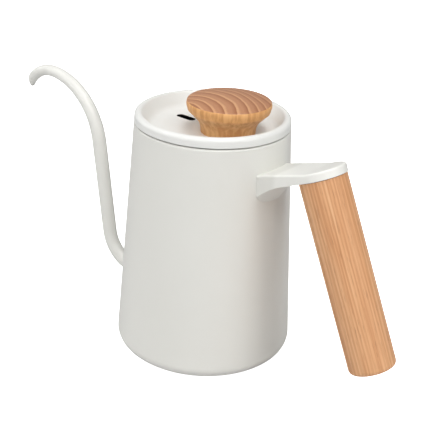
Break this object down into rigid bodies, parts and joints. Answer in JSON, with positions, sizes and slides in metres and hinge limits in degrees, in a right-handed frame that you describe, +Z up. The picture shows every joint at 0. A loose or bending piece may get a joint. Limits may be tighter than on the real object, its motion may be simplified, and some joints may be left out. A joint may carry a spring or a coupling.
{
  "type": "gooseneck kettle",
  "caption": "Tapered stovetop kettle with a thin swan-neck spout, a leaning cylindrical wooden side grip and a lift-off dished lid with a wooden knob.",
  "frame": {"origin": "centre of the flat base face that the kettle stands on", "axes": "+Z up, +X towards the handle, -X towards the spout"},
  "size_m": [0.2712, 0.099, 0.1489],
  "materials": {
    "body_paint": "satin off-white powder coat on stainless steel",
    "lid_paint": "satin off-white powder coat, slightly brighter on the rim",
    "base_steel": "circular brushed magnetic stainless steel",
    "bare_steel": "bare stainless steel",
    "base_aluminium": "plain aluminium",
    "screw_steel": "plain stainless fasteners",
    "grip_wood": "oiled straight-grained pale hardwood",
    "knob_wood": "oiled pale hardwood with wide growth bands",
    "black_rubber": "black rubber",
    "plug_rubber": "dark brown rubber",
    "clear_silicone": "translucent silicone",
    "insert_brass": "turned brass"
  },
  "bodies": {
    "kettle": {"body_shell": "body_paint", "base_disc": "base_aluminium", "base_cap": "base_steel", "spout_tube": "body_paint", "spout_weld": "body_paint", "handle_lug": "bare_steel", "handle_arm": "body_paint", "lug_screw": "screw_steel", "screw_cover": "body_paint", "grip_gasket": "black_rubber", "grip": "grip_wood", "tie_washer": "screw_steel", "tie_screw": "screw_steel", "grip_plug": "plug_rubber"},
    "lid": {"lid_shell": "lid_paint", "lid_collar": "bare_steel", "lid_seal": "clear_silicone", "knob": "knob_wood", "knob_insert": "insert_brass", "knob_gasket": "clear_silicone", "knob_washer": "screw_steel", "knob_screw": "screw_steel"}
  },
  "joints": [
    {"name": "lid_lift", "type": "slide", "parent": "kettle", "child": "lid", "axis": [0, 0, 1], "range_m": [0, 0.06]}
  ]
}
